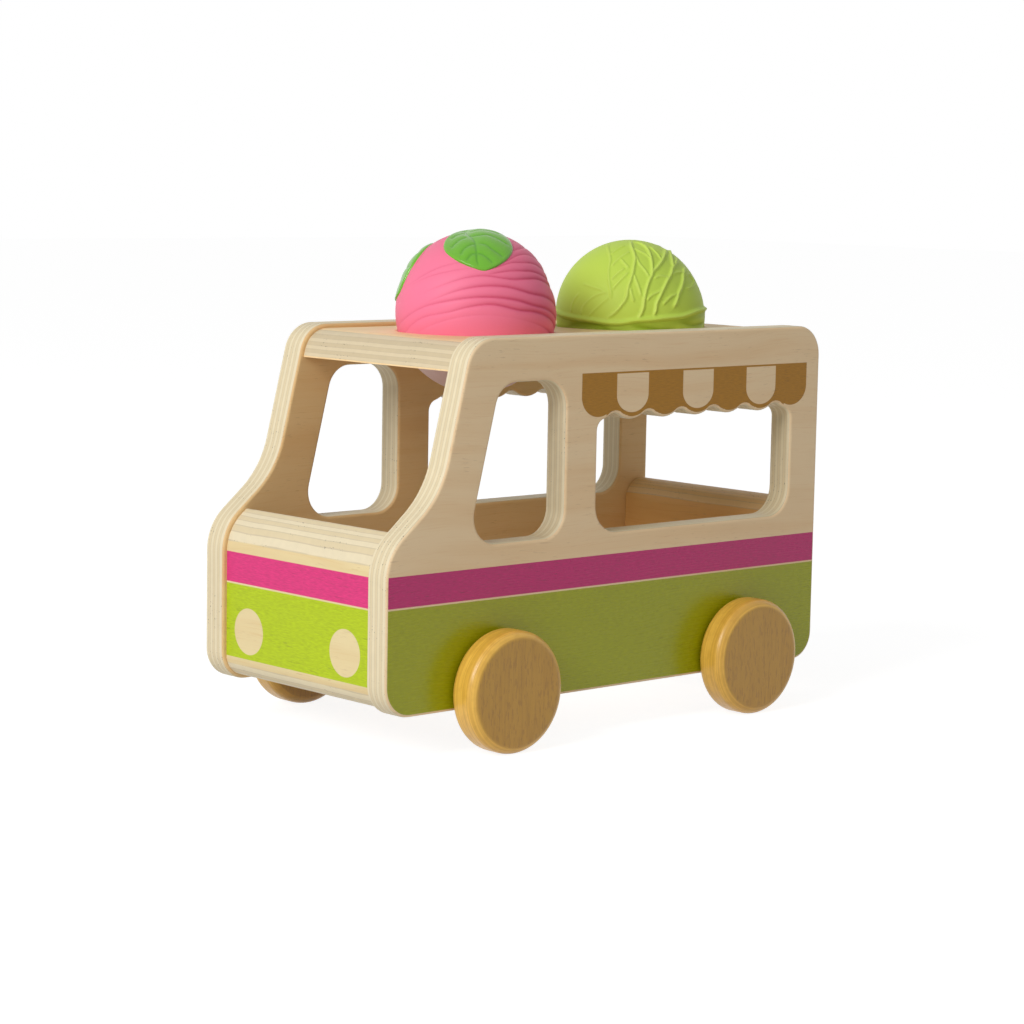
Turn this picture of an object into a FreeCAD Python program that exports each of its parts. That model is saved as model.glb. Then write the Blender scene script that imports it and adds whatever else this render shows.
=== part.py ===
"""Wooden push-along ice cream truck with two rubber scoops that lift out of its roof.

Two plywood side panels carry a front board, a rear board and a roof board between them.
Each axle turns in a hole through both side panels and holds two beech wheels.
X points forward, Y to the truck's left and Z up, with the origin on the floor under its middle.
Sizes are in millimetres. Rake, arcs, tilts, turns and angular spacings are in degrees.
Heights of the plywood pieces are measured from the panels' lower edge.
"""
import FreeCAD, Part
import math
import os
import Sketcher

doc = FreeCAD.newDocument("ice_cream_truck")
V = FreeCAD.Vector

# Driving dimensions, each with the alias that the expressions below read
SIZES = [
    ("panel_length", 250.0),
    ("panel_height", 150.0),
    ("panel_ply", 12.0),
    ("inner_width", 96.0),
    ("edge_round", 1.5),
    ("end_round", 0.6),
    ("lower_front_round", 13.0),
    ("lower_rear_round", 12.0),
    ("upper_rear_round", 13.0),
    ("upper_front_round", 14.0),
    ("bonnet_height", 65.5),
    ("bonnet_length", 28.0),
    ("bonnet_rise", 23.3),
    ("bonnet_round", 22.0),
    ("cowl_round", 40.0),
    ("windscreen_rake", 14.0),
    ("window_sill", 66.4),
    ("pillar_width", 19.8),
    ("cab_window_length", 52.2),
    ("cab_window_header", 18.4),
    ("cab_window_round", 11.5),
    ("post_width", 18.5),
    ("rear_post_width", 18.5),
    ("hatch_header", 36.4),
    ("hatch_round", 12.0),
    ("hatch_top_round", 5.0),
    ("scallop_width", 19.6),
    ("scallop_radius", 13.0),
    ("scallop_notch_round", 5.5),
    ("board_ply", 12.0),
    ("board_recess", 2.0),
    ("rear_board_height", 72.0),
    ("rear_board_round", 10.0),
    ("roof_ply", 12.0),
    ("seat_diameter", 67.6),
    ("front_seat_inset", 1.3),
    ("front_seat_margin_share", 0.278),
    ("rear_seat_margin_share", 0.373),
    ("scoop_overlap", 0.8),
    ("scoop_clearance", 0.3),
    ("axle_diameter", 7.0),
    ("axle_clearance", 0.08),
    ("axle_height", 7.0),
    ("front_axle_setback", 58.0),
    ("rear_axle_setback", 50.0),
    ("wheel_diameter", 50.6),
    ("wheel_width", 14.0),
    ("wheel_round", 4.0),
    ("wheel_gap", 1.0),
    ("bore_depth", 10.0),
    ("pleat_count", 7),
    ("pleat_tube", 1.2),
    ("pleat_lift", 0.6),
    ("lowest_pleat_arc", -17.0),
    ("pleat_arc_spacing", 7.7),
    ("pleat_start_turn", 123.0),
    ("pleat_sweep_arc", 290.0),
    ("pleat_tilt", 28.0),
    ("pleat_turn", -125.0),
    ("dome_inset", 1.2),
    ("leaf_edge_arc", 4.0),
    ("leaf_edge_tilt", 7.7),
    ("leaf_edge_turn", 13.0),
    ("rib_count", 5),
    ("rib_tube", 0.8),
    ("rib_rise", 0.35),
    ("rib_start_arc", -5.0),
    ("rib_sweep_arc", 70.0),
    ("rib_first_turn", 138.0),
    ("rib_turn_spacing", 16.0),
    ("rib_tilt", 115.0),
    ("rib_turn", 47.0),
    ("leaf_thickness", 1.0),
    ("leaf_length_arc", 60.0),
    ("leaf_width_arc", 49.0),
    ("leaf_stalk_round", 6.0),
    ("upper_leaf_tilt", 27.0),
    ("upper_leaf_turn", 52.0),
    ("upper_leaf_twist", 0.0),
    ("lower_leaf_tilt", 60.6),
    ("lower_leaf_turn", -51.7),
    ("lower_leaf_twist", 75.0),
]
sheet = doc.addObject("Spreadsheet::Sheet", "Sizes")
for row, (alias, size) in enumerate(SIZES, start=1):
    sheet.set(f"A{row}", alias)
    sheet.set(f"B{row}", str(size))
    sheet.setAlias(f"B{row}", alias)
doc.recompute()

# Formulas that several pieces share
HALF_LENGTH = "Sizes.panel_length / 2"
RIDE = "Sizes.wheel_diameter / 2 - Sizes.axle_height"
RAKE = "tan(Sizes.windscreen_rake * 1 deg)"
RAKE_SECANT = "1 / cos(Sizes.windscreen_rake * 1 deg)"
BONNET_SLOPE = "(Sizes.bonnet_rise / Sizes.bonnet_length)"
COWL_X = f"({HALF_LENGTH} - Sizes.bonnet_length)"
COWL_HEIGHT = "(Sizes.bonnet_height + Sizes.bonnet_rise)"
BONNET_DROP = f"(Sizes.board_recess * sqrt(1 + {BONNET_SLOPE} ^ 2))"
BOARD_FRONT = f"({HALF_LENGTH} - Sizes.board_recess)"
BOARD_BACK = f"({BOARD_FRONT} - Sizes.board_ply)"
ROOF_TOP = "(Sizes.panel_height - Sizes.board_recess)"
ROOF_UNDERSIDE = f"({ROOF_TOP} - Sizes.roof_ply)"
SCOOP_RADIUS = "(Sizes.seat_diameter / 2 + Sizes.scoop_overlap / 2)"
SCOOP_REACH = f"({SCOOP_RADIUS} + Sizes.edge_round + Sizes.scoop_clearance)"
FRONT_AXLE_X = f"({HALF_LENGTH} - Sizes.front_axle_setback)"
REAR_AXLE_X = f"(Sizes.rear_axle_setback - {HALF_LENGTH})"
WHEEL_INNER = "(Sizes.inner_width / 2 + Sizes.panel_ply + Sizes.wheel_gap)"


def windscreen_x(height):
    """Formula for the windscreen line's x at a height formula."""
    return f"({COWL_X} - ({height} - {COWL_HEIGHT}) * {RAKE})"


def window_front_x(height):
    """Formula for the x of the cab window's front edge, which runs along the windscreen line."""
    return f"({windscreen_x(height)} - Sizes.pillar_width * {RAKE_SECANT})"


def scoop_height(seat_diameter):
    """Formula for the height of a scoop's middle when it rests on its seat's rounded rim."""
    ring = f"({seat_diameter} / 2 + Sizes.edge_round)"
    return f"{RIDE} + {ROOF_TOP} - Sizes.edge_round + sqrt({SCOOP_REACH} ^ 2 - {ring} ^ 2)"


ROOF_REAR = f"(-{BOARD_FRONT})"
ROOF_INSET = f"Sizes.board_recess * {RAKE_SECANT}"
ROOF_FRONT = f"({windscreen_x(ROOF_TOP)} - {ROOF_INSET})"
SEAT_ROOM = f"({ROOF_FRONT} - {ROOF_REAR} - 2 * Sizes.seat_diameter)"
FRONT_MARGIN = f"({SEAT_ROOM} * Sizes.front_seat_margin_share)"
REAR_MARGIN = f"({SEAT_ROOM} * Sizes.rear_seat_margin_share)"
FRONT_SEAT_X = f"({ROOF_FRONT} - {FRONT_MARGIN} - Sizes.seat_diameter / 2)"
REAR_SEAT_X = f"({ROOF_REAR} + {REAR_MARGIN} + Sizes.seat_diameter / 2)"
FRONT_SEAT = (FRONT_SEAT_X, "(Sizes.seat_diameter - Sizes.front_seat_inset)")
REAR_SEAT = (REAR_SEAT_X, "Sizes.seat_diameter")
DOME_RADIUS = f"({SCOOP_RADIUS} - Sizes.dome_inset)"
LEAF_LENGTH = f"(2 * {SCOOP_RADIUS} * sin(Sizes.leaf_length_arc / 2 * 1 deg))"
LEAF_WIDTH = f"(2 * {SCOOP_RADIUS} * sin(Sizes.leaf_width_arc / 2 * 1 deg))"
CAB_WINDOW_TOP = "(Sizes.panel_height - Sizes.cab_window_header)"
CAB_WINDOW_REAR = f"({window_front_x('Sizes.window_sill')} - Sizes.cab_window_length)"
HATCH_FRONT = f"({CAB_WINDOW_REAR} - Sizes.post_width)"
HATCH_REAR = f"(Sizes.rear_post_width - {HALF_LENGTH})"
SCALLOP_BOTTOM = "(Sizes.panel_height - Sizes.hatch_header)"
SCALLOP_CENTRE = f"({SCALLOP_BOTTOM} + Sizes.scallop_radius)"
SCALLOP_GAPS = f"round(({HATCH_FRONT} - {HATCH_REAR}) / Sizes.scallop_width)"
SCALLOP_PITCH = f"(({HATCH_FRONT} - {HATCH_REAR}) / {SCALLOP_GAPS})"


def number(formula):
    """The value that a formula has now."""
    result = sheet.evalExpression(formula.replace("Sizes.", ""))
    return float(getattr(result, "Value", result))


def new_body(label, height=None, x=None, y=None):
    """An empty body with its label, whose place follows the given formulas."""
    body = doc.addObject("PartDesign::Body", label)
    body.Label = label
    for axis, formula in (("x", x), ("y", y), ("z", height)):
        if formula is not None:
            body.setExpression(f"Placement.Base.{axis}", formula)
    return body


def new_sketch(body, name, plane):
    """A sketch on one of the body's own origin planes."""
    sketch = body.newObject("Sketcher::SketchObject", name)
    support = next(o for o in body.Origin.OriginFeatures if o.Role == plane)
    sketch.AttachmentSupport = [(support, "")]
    sketch.MapMode = "FlatFace"
    return sketch


def pin_point(sketch, geometry, position, across, up):
    """Holds one point of a sketch at two formulas."""
    for kind, formula in (("DistanceX", across), ("DistanceY", up)):
        index = sketch.addConstraint(
            Sketcher.Constraint(kind, -1, 1, geometry, position, number(formula))
        )
        sketch.setExpression(f"Constraints[{index}]", formula)


def add_polygon(sketch, corners):
    """A closed outline of straight lines through corners given as pairs of formulas."""
    places = [V(number(across), number(up), 0) for across, up in corners]
    lines = [
        sketch.addGeometry(Part.LineSegment(place, places[(i + 1) % len(places)]), False)
        for i, place in enumerate(places)
    ]
    for i, line in enumerate(lines):
        following = lines[(i + 1) % len(lines)]
        sketch.addConstraint(Sketcher.Constraint("Coincident", line, 2, following, 1))
    for line, (across, up) in zip(lines, corners):
        pin_point(sketch, line, 1, across, up)


def add_circle(sketch, across, up, radius):
    """A circle whose centre and radius follow formulas."""
    centre = V(number(across), number(up), 0)
    circle = sketch.addGeometry(Part.Circle(centre, V(0, 0, 1), number(radius)), False)
    pin_point(sketch, circle, 3, across, up)
    index = sketch.addConstraint(Sketcher.Constraint("Radius", circle, number(radius)))
    sketch.setExpression(f"Constraints[{index}]", radius)


def pad(body, name, sketch, length, both_ways=False, reverse=False):
    """A pad of a sketch by a formula's length."""
    feature = body.newObject("PartDesign::Pad", name)
    feature.Profile = sketch
    feature.setExpression("Length", length)
    feature.Midplane = both_ways
    feature.Reversed = reverse
    doc.recompute()
    return feature


def pocket(body, name, sketch):
    """A pocket of a sketch right through the body, checked by the volume that it takes away."""
    before = body.Shape.Volume
    feature = body.newObject("PartDesign::Pocket", name)
    feature.Profile = sketch
    feature.Type = "ThroughAll"
    feature.Midplane = True
    doc.recompute()
    if body.Shape.Volume >= before:
        raise ValueError(f"{name} cuts nothing")
    return feature


def round_edges(body, name, radius, chosen):
    """A fillet by a formula's radius on the edges for which chosen(edge) is true."""
    base = body.Tip
    names = [f"Edge{i}" for i, edge in enumerate(base.Shape.Edges, start=1) if chosen(edge)]
    if not names:
        raise ValueError(f"{name} finds no edge")
    feature = body.newObject("PartDesign::Fillet", name)
    feature.Base = (base, names)
    feature.setExpression("Radius", radius)
    doc.recompute()
    return feature


def runs_across(edge, x, z, near=0.05):
    """Whether a straight edge runs along Y at one x and z."""
    ends = [vertex.Point for vertex in edge.Vertexes]
    if len(ends) != 2:
        return False
    return all(abs(end.x - x) < near and abs(end.z - z) < near for end in ends)


def corner_chooser(across, up):
    """A chooser of the edge along Y whose x and z are the two formulas' values."""
    x, z = number(across), number(up)
    return lambda edge: runs_across(edge, x, z)


def face_outline(level):
    """A chooser of the edges that lie wholly in the plane Y = level, apart from round holes."""

    def chosen(edge):
        if isinstance(edge.Curve, Part.Circle) and edge.isClosed():
            return False
        box = edge.BoundBox
        return abs(box.YMin - level) < 1e-4 and abs(box.YMax - level) < 1e-4

    return chosen


def build_side_panel(label, side):
    """One side panel: outline, cab window, hatch with scallops and axle holes.

    side is 1 for the left panel and -1 for the right one.
    """
    inner = "Sizes.inner_width / 2"
    place = inner if side > 0 else f"-({inner}) - Sizes.panel_ply"
    body = new_body(label, RIDE, y=place)
    outline = new_sketch(body, f"{label}_outline", "XZ_Plane")
    corners = [
        (HALF_LENGTH, "0", "Sizes.lower_front_round"),
        (HALF_LENGTH, "Sizes.bonnet_height", "Sizes.bonnet_round"),
        (COWL_X, COWL_HEIGHT, "Sizes.cowl_round"),
        (windscreen_x("Sizes.panel_height"), "Sizes.panel_height", "Sizes.upper_front_round"),
        (f"-{HALF_LENGTH}", "Sizes.panel_height", "Sizes.upper_rear_round"),
        (f"-{HALF_LENGTH}", "0", "Sizes.lower_rear_round"),
    ]
    add_polygon(outline, [(across, up) for across, up, _ in corners])
    pad(body, f"{label}_board", outline, "Sizes.panel_ply", reverse=True)
    for i, (across, up, radius) in enumerate(corners):
        round_edges(body, f"{label}_corner_{i}", radius, corner_chooser(across, up))

    window = new_sketch(body, f"{label}_cab_outline", "XZ_Plane")
    window_corners = [
        (CAB_WINDOW_REAR, "Sizes.window_sill"),
        (window_front_x("Sizes.window_sill"), "Sizes.window_sill"),
        (window_front_x(CAB_WINDOW_TOP), CAB_WINDOW_TOP),
        (CAB_WINDOW_REAR, CAB_WINDOW_TOP),
    ]
    add_polygon(window, window_corners)
    pocket(body, f"{label}_cab_window", window)
    for i, (across, up) in enumerate(window_corners):
        name = f"{label}_cab_corner_{i}"
        round_edges(body, name, "Sizes.cab_window_round", corner_chooser(across, up))

    hatch = new_sketch(body, f"{label}_hatch_outline", "XZ_Plane")
    hatch_corners = [
        (HATCH_REAR, "Sizes.window_sill"),
        (HATCH_FRONT, "Sizes.window_sill"),
        (HATCH_FRONT, SCALLOP_CENTRE),
        (HATCH_REAR, SCALLOP_CENTRE),
    ]
    add_polygon(hatch, hatch_corners)
    pocket(body, f"{label}_hatch", hatch)
    tongue = new_sketch(body, f"{label}_tongue_outline", "XZ_Plane")
    add_circle(tongue, HATCH_REAR, SCALLOP_CENTRE, "Sizes.scallop_radius")
    tongue_pad = pad(body, f"{label}_tongue", tongue, "Sizes.panel_ply", reverse=True)
    row = body.newObject("PartDesign::LinearPattern", f"{label}_tongues")
    row.Originals = [tongue_pad]
    row.Direction = (tongue, ["H_Axis"])
    row.setExpression("Length", f"{HATCH_FRONT} - {HATCH_REAR}")
    row.setExpression("Occurrences", f"{SCALLOP_GAPS} + 1")
    body.Tip = row
    doc.recompute()

    pitch = number(SCALLOP_PITCH)
    radius = number("Sizes.scallop_radius")
    notch_up = number(SCALLOP_CENTRE) - math.sqrt(radius**2 - (pitch / 2) ** 2)
    first_notch = number(HATCH_REAR) + pitch / 2
    notches = [first_notch + pitch * i for i in range(round(number(SCALLOP_GAPS)))]
    round_edges(
        body,
        f"{label}_notches",
        "Sizes.scallop_notch_round",
        lambda edge: any(runs_across(edge, x, notch_up) for x in notches),
    )
    for i, (across, up) in enumerate(hatch_corners[:2]):
        name = f"{label}_hatch_corner_{i}"
        round_edges(body, name, "Sizes.hatch_round", corner_chooser(across, up))
    for i, across in enumerate((HATCH_FRONT, HATCH_REAR)):
        chooser = corner_chooser(across, SCALLOP_BOTTOM)
        round_edges(body, f"{label}_hatch_top_{i}", "Sizes.hatch_top_round", chooser)

    for level in (0.0, number("Sizes.panel_ply")):
        round_edges(
            body, f"{label}_edge_{int(level > 0)}", "Sizes.edge_round", face_outline(level)
        )

    holes = new_sketch(body, f"{label}_axle_holes_outline", "XZ_Plane")
    hole_radius = "Sizes.axle_diameter / 2 + Sizes.axle_clearance"
    for across in (FRONT_AXLE_X, REAR_AXLE_X):
        add_circle(holes, across, "Sizes.axle_height", hole_radius)
    pocket(body, f"{label}_axle_holes", holes)
    return body


def build_board(label, corners):
    """A board between the side panels, from its side profile.

    corners holds pairs of formulas and a rounding formula, or None for a sharp corner.
    """
    body = new_body(label, RIDE)
    profile = new_sketch(body, f"{label}_profile", "XZ_Plane")
    add_polygon(profile, [(across, up) for across, up, _ in corners])
    pad(body, f"{label}_board", profile, "Sizes.inner_width", both_ways=True)
    for i, (across, up, radius) in enumerate(corners):
        if radius is not None:
            round_edges(body, f"{label}_corner_{i}", radius, corner_chooser(across, up))
    return body


def round_board_ends(body):
    """Rounds the edges of a board's two ends, where it meets the side panels."""
    for side in (-1, 1):
        level = side * number("Sizes.inner_width") / 2
        name = f"{body.Label}_end_{int(side > 0)}"
        round_edges(body, name, "Sizes.end_round", face_outline(level))


def build_front_board():
    """The front board, whose profile follows the panels' bonnet inside its recess."""
    front_top = (
        f"Sizes.bonnet_height + {BONNET_SLOPE} * Sizes.board_recess - {BONNET_DROP}"
    )
    back_top = f"{front_top} + {BONNET_SLOPE} * Sizes.board_ply"
    body = build_board(
        "front_board",
        [
            (BOARD_BACK, "Sizes.board_recess", "Sizes.edge_round"),
            (
                BOARD_FRONT,
                "Sizes.board_recess",
                "min(Sizes.lower_front_round - Sizes.board_recess; Sizes.board_ply * 0.8)",
            ),
            (BOARD_FRONT, front_top, "Sizes.bonnet_round - Sizes.board_recess"),
            (BOARD_BACK, back_top, "Sizes.edge_round"),
        ],
    )
    round_board_ends(body)
    return body


def build_rear_board():
    """The rear board below the open back, with its top edge rounded towards the inside."""
    rear = f"(-{BOARD_FRONT})"
    inside = f"(-{BOARD_BACK})"
    lower = "min(Sizes.lower_rear_round - Sizes.board_recess; Sizes.board_ply * 0.8)"
    body = build_board(
        "rear_board",
        [
            (rear, "Sizes.board_recess", lower),
            (inside, "Sizes.board_recess", "Sizes.edge_round"),
            (
                inside,
                "Sizes.rear_board_height",
                "min(Sizes.rear_board_round; Sizes.board_ply * 0.84)",
            ),
            (rear, "Sizes.rear_board_height", "Sizes.edge_round"),
        ],
    )
    round_board_ends(body)
    return body


def build_roof_board():
    """The roof board with its two round seats, of which the front one is a little tighter."""
    body = build_board(
        "roof_board",
        [
            (ROOF_REAR, ROOF_UNDERSIDE, None),
            (f"{windscreen_x(ROOF_UNDERSIDE)} - {ROOF_INSET}", ROOF_UNDERSIDE, None),
            (
                ROOF_FRONT,
                ROOF_TOP,
                "min(Sizes.upper_front_round - Sizes.board_recess; Sizes.roof_ply)",
            ),
            (
                ROOF_REAR,
                ROOF_TOP,
                "min(Sizes.upper_rear_round - Sizes.board_recess; Sizes.roof_ply * 0.95)",
            ),
        ],
    )
    seats = new_sketch(body, "roof_board_seats_outline", "XY_Plane")
    for across, diameter in (FRONT_SEAT, REAR_SEAT):
        add_circle(seats, across, "0", f"{diameter} / 2")
    pocket(body, "roof_board_seats", seats)

    def seat_rim(edge):
        """Whether an edge is a rim of a seat."""
        return isinstance(edge.Curve, Part.Circle) and edge.isClosed()

    round_edges(body, "roof_board_seat_rims", "Sizes.edge_round", seat_rim)
    round_board_ends(body)
    return body


def build_axle(label, across):
    """A dowel axle through both side panels into the blind bores of two wheels."""
    reach = f"({WHEEL_INNER} + Sizes.bore_depth)"
    body = new_body(label, "Sizes.wheel_diameter / 2", x=across)
    section = new_sketch(body, f"{label}_section", "XZ_Plane")
    add_circle(section, "0", "0", "Sizes.axle_diameter / 2")
    pad(body, f"{label}_dowel", section, f"2 * {reach}", both_ways=True)
    return body


def build_wheel(label, across, side):
    """A turned wheel with rounded rims and a blind bore on its inner side."""
    inner = WHEEL_INNER if side > 0 else f"-{WHEEL_INNER} - Sizes.wheel_width"
    body = new_body(label, "Sizes.wheel_diameter / 2", x=across, y=inner)
    disc = new_sketch(body, f"{label}_disc", "XZ_Plane")
    add_circle(disc, "0", "0", "Sizes.wheel_diameter / 2")
    pad(body, f"{label}_turning", disc, "Sizes.wheel_width", reverse=True)
    rim = "min(Sizes.wheel_round; Sizes.wheel_width * 0.45)"
    round_edges(body, f"{label}_rims", rim, lambda edge: isinstance(edge.Curve, Part.Circle))
    section = new_sketch(body, f"{label}_bore_outline", "XZ_Plane")
    add_circle(section, "0", "0", "Sizes.axle_diameter / 2")
    before = body.Shape.Volume
    if side < 0:
        section.setExpression("AttachmentOffset.Base.z", "-Sizes.wheel_width")
    bore = body.newObject("PartDesign::Pocket", f"{label}_bore")
    bore.Profile = section
    bore.Type = "Length"
    bore.setExpression("Length", "Sizes.bore_depth")
    bore.Reversed = side > 0
    doc.recompute()
    if body.Shape.Volume >= before - 1:
        bore.Reversed = not bore.Reversed
        doc.recompute()
    if body.Shape.Volume >= before - 1:
        raise ValueError(f"{label} has no bore")
    return body


def turn_about(axis, angle):
    """A rotation about an axis by a formula's angle in degrees."""
    return FreeCAD.Rotation(axis, number(angle))


def lean(tilt, turn):
    """A rotation that tilts the upright axis forward and then turns it about the upright axis."""
    return turn_about(V(0, 0, 1), turn) * turn_about(V(0, 1, 0), tilt)


def new_sphere(label, radius):
    """A sphere about the middle of its scoop."""
    sphere = doc.addObject("Part::Sphere", label)
    sphere.setExpression("Radius", radius)
    return sphere


def new_ring(label, radius, tube, sweep):
    """A part of a thin ring about the middle of its scoop."""
    ring = doc.addObject("Part::Torus", label)
    ring.setExpression("Radius1", radius)
    ring.setExpression("Radius2", tube)
    ring.setExpression("Angle3", sweep)
    return ring


def seat_scoop(scoop, seat):
    """Puts a scoop that is built about its own middle into its roof seat."""
    across, diameter = seat
    scoop.setExpression("Placement.Base.x", across)
    scoop.setExpression("Placement.Base.z", scoop_height(diameter))
    return scoop


def build_pleated_scoop(label, seat):
    """The front scoop, with pleats cut as parallel ring grooves about a leaning axis."""
    centres = f"({SCOOP_RADIUS} + Sizes.pleat_lift)"
    leaning = lean("Sizes.pleat_tilt", "Sizes.pleat_turn")
    axis = leaning.multVec(V(0, 0, 1))
    grooves = []
    for i in range(round(number("Sizes.pleat_count"))):
        arc = f"((Sizes.lowest_pleat_arc + {i} * Sizes.pleat_arc_spacing) * 1 deg)"
        name = f"{label}_pleat_{i}"
        radius = f"{centres} * cos({arc})"
        groove = new_ring(name, radius, "Sizes.pleat_tube", "Sizes.pleat_sweep_arc")
        groove.Placement.Rotation = leaning * turn_about(V(0, 0, 1), "Sizes.pleat_start_turn")
        for way, share in (("x", axis.x), ("y", axis.y), ("z", axis.z)):
            groove.setExpression(f"Placement.Base.{way}", f"{centres} * sin({arc}) * {share}")
        grooves.append(groove)
    doc.recompute()
    cutter = doc.addObject("Part::MultiFuse", f"{label}_pleats")
    cutter.Shapes = grooves
    scoop = doc.addObject("Part::Cut", label)
    scoop.Label = label
    scoop.Base, scoop.Tool = new_sphere(f"{label}_ball", SCOOP_RADIUS), cutter
    return seat_scoop(scoop, seat)


def build_ribbed_scoop(label, seat):
    """The rear scoop: a dome with raised ribs that fan out from low down, above a leaf's edge."""
    dome = new_sphere(f"{label}_dome", DOME_RADIUS)
    base = new_sphere(f"{label}_base", SCOOP_RADIUS)
    base.setExpression("Angle2", "Sizes.leaf_edge_arc")
    base.Placement.Rotation = lean("Sizes.leaf_edge_tilt", "Sizes.leaf_edge_turn")
    upright = FreeCAD.Rotation(V(1, 0, 0), 90)
    ribs = []
    for i in range(round(number("Sizes.rib_count"))):
        radius = f"{DOME_RADIUS} + Sizes.rib_rise - Sizes.rib_tube"
        rib = new_ring(f"{label}_rib_{i}", radius, "Sizes.rib_tube", "Sizes.rib_sweep_arc")
        fan = f"Sizes.rib_first_turn + {i} * Sizes.rib_turn_spacing"
        start = upright * turn_about(V(0, 0, 1), "Sizes.rib_start_arc")
        leaning = lean("Sizes.rib_tilt", "Sizes.rib_turn")
        rib.Placement.Rotation = leaning * turn_about(V(0, 0, 1), fan) * start
        ribs.append(rib)
    doc.recompute()
    scoop = doc.addObject("Part::MultiFuse", label)
    scoop.Label = label
    scoop.Shapes = [dome, base, *ribs]
    return seat_scoop(scoop, seat)


def add_lens(sketch, length, width):
    """A leaf outline of two arcs that meet at its tip and stalk, along the sketch's first axis."""
    half_length = f"({length} / 2)"
    radius = f"(({length}) ^ 2 / 4 + ({width}) ^ 2 / 4) / ({width})"
    stalk, tip = V(-number(half_length), 0, 0), V(number(half_length), 0, 0)
    bulge = V(0, number(width) / 2, 0)
    lower = sketch.addGeometry(Part.Arc(stalk, -bulge, tip), False)
    upper = sketch.addGeometry(Part.Arc(tip, bulge, stalk), False)
    sketch.addConstraint(Sketcher.Constraint("Coincident", lower, 2, upper, 1))
    sketch.addConstraint(Sketcher.Constraint("Coincident", upper, 2, lower, 1))
    pin_point(sketch, lower, 1, f"-{half_length}", "0")
    pin_point(sketch, lower, 2, half_length, "0")
    for arc in (lower, upper):
        index = sketch.addConstraint(Sketcher.Constraint("Radius", arc, number(radius)))
        sketch.setExpression(f"Constraints[{index}]", radius)


def build_leaf(label, seat, tilt, turn, twist):
    """A leaf moulded on a scoop: the part of a thin round shell inside a leaf outline.

    The leaf's middle is tilted from the scoop's top and turned about the upright axis. Its tip
    points down the scoop, and the twist turns the leaf about its own middle.
    """
    shell = doc.addObject("Part::Cut", f"{label}_shell")
    shell.Base = new_sphere(f"{label}_outer", f"{SCOOP_RADIUS} + Sizes.leaf_thickness")
    shell.Tool = new_sphere(f"{label}_inner", SCOOP_RADIUS)
    blank = new_body(f"{label}_blank")
    outline = new_sketch(blank, f"{label}_outline", "XY_Plane")
    add_lens(outline, LEAF_LENGTH, LEAF_WIDTH)
    pad(blank, f"{label}_pad", outline, f"{SCOOP_RADIUS} + 2 * Sizes.leaf_thickness")
    half_length = f"{LEAF_LENGTH} / 2"

    def at_stalk(edge):
        """Whether an upright edge stands at the leaf's stalk end."""
        ends = [vertex.Point for vertex in edge.Vertexes]
        return len(ends) == 2 and all(
            abs(end.x + number(half_length)) < 0.01 and abs(end.y) < 0.01 for end in ends
        )

    round_edges(blank, f"{label}_stalk", "Sizes.leaf_stalk_round", at_stalk)
    leaf = doc.addObject("Part::Common", label)
    leaf.Label = label
    leaf.Base, leaf.Tool = shell, blank
    leaf.Placement.Rotation = lean(tilt, turn) * turn_about(V(0, 0, 1), twist)
    return seat_scoop(leaf, seat)


pieces = [
    build_side_panel("side_panel_left", 1),
    build_side_panel("side_panel_right", -1),
    build_front_board(),
    build_rear_board(),
    build_roof_board(),
    build_axle("front_axle", FRONT_AXLE_X),
    build_axle("rear_axle", REAR_AXLE_X),
]
for end, axle_x in (("front", FRONT_AXLE_X), ("rear", REAR_AXLE_X)):
    for side_name, side in (("left", 1), ("right", -1)):
        pieces.append(build_wheel(f"{end}_wheel_{side_name}", axle_x, side))
pieces.append(build_pleated_scoop("front_scoop", FRONT_SEAT))
pieces.append(build_ribbed_scoop("rear_scoop", REAR_SEAT))
for which in ("upper", "lower"):
    pieces.append(
        build_leaf(
            f"{which}_leaf",
            FRONT_SEAT,
            f"Sizes.{which}_leaf_tilt",
            f"Sizes.{which}_leaf_turn",
            f"Sizes.{which}_leaf_twist",
        )
    )

doc.recompute()
for item in doc.Objects:
    if {"Invalid", "Error"} & set(item.State):
        raise RuntimeError(f"{item.Label} failed: {item.State}")
os.makedirs("parts", exist_ok=True)
for piece in pieces:
    shape = piece.Shape
    if shape.isNull() or not shape.isValid():
        raise RuntimeError(f"{piece.Label} has no valid shape")
    shape.exportStep(f"parts/{piece.Label}.step")
    print(piece.Label, len(shape.Solids), round(shape.Volume / 1000, 2), "cm3")
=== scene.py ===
"""Looks for the wooden ice cream truck with its two rubber scoops.

The plywood boards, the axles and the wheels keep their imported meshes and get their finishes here.
The scoops and their leaves are made again, with pleats, veins and rounded leaf edges.
Places are in metres, and relief and the edges of paint in millimetres, in the model's own frame.
"""

import math

import bmesh
import bpy
import numpy as np
from mathutils import Matrix, Vector


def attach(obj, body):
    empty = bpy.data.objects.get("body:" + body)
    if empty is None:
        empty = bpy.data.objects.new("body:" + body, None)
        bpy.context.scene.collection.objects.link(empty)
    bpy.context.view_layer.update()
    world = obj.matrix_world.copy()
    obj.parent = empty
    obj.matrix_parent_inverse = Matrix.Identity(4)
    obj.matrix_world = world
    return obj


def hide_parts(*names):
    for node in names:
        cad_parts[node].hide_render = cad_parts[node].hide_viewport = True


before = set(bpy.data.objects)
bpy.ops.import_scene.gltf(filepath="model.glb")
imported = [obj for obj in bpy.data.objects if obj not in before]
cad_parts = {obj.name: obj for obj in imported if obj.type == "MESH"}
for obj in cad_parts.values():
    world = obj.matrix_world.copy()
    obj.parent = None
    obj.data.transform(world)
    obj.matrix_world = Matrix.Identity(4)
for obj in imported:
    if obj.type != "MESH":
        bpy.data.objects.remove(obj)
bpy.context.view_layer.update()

MILLIMETRE = 0.001
# The turns that bring grain along X or along Y to X
ALONG_X, ALONG_Y = (0.0, 0.0, 0.0), (0.0, 0.0, math.pi / 2)
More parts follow.
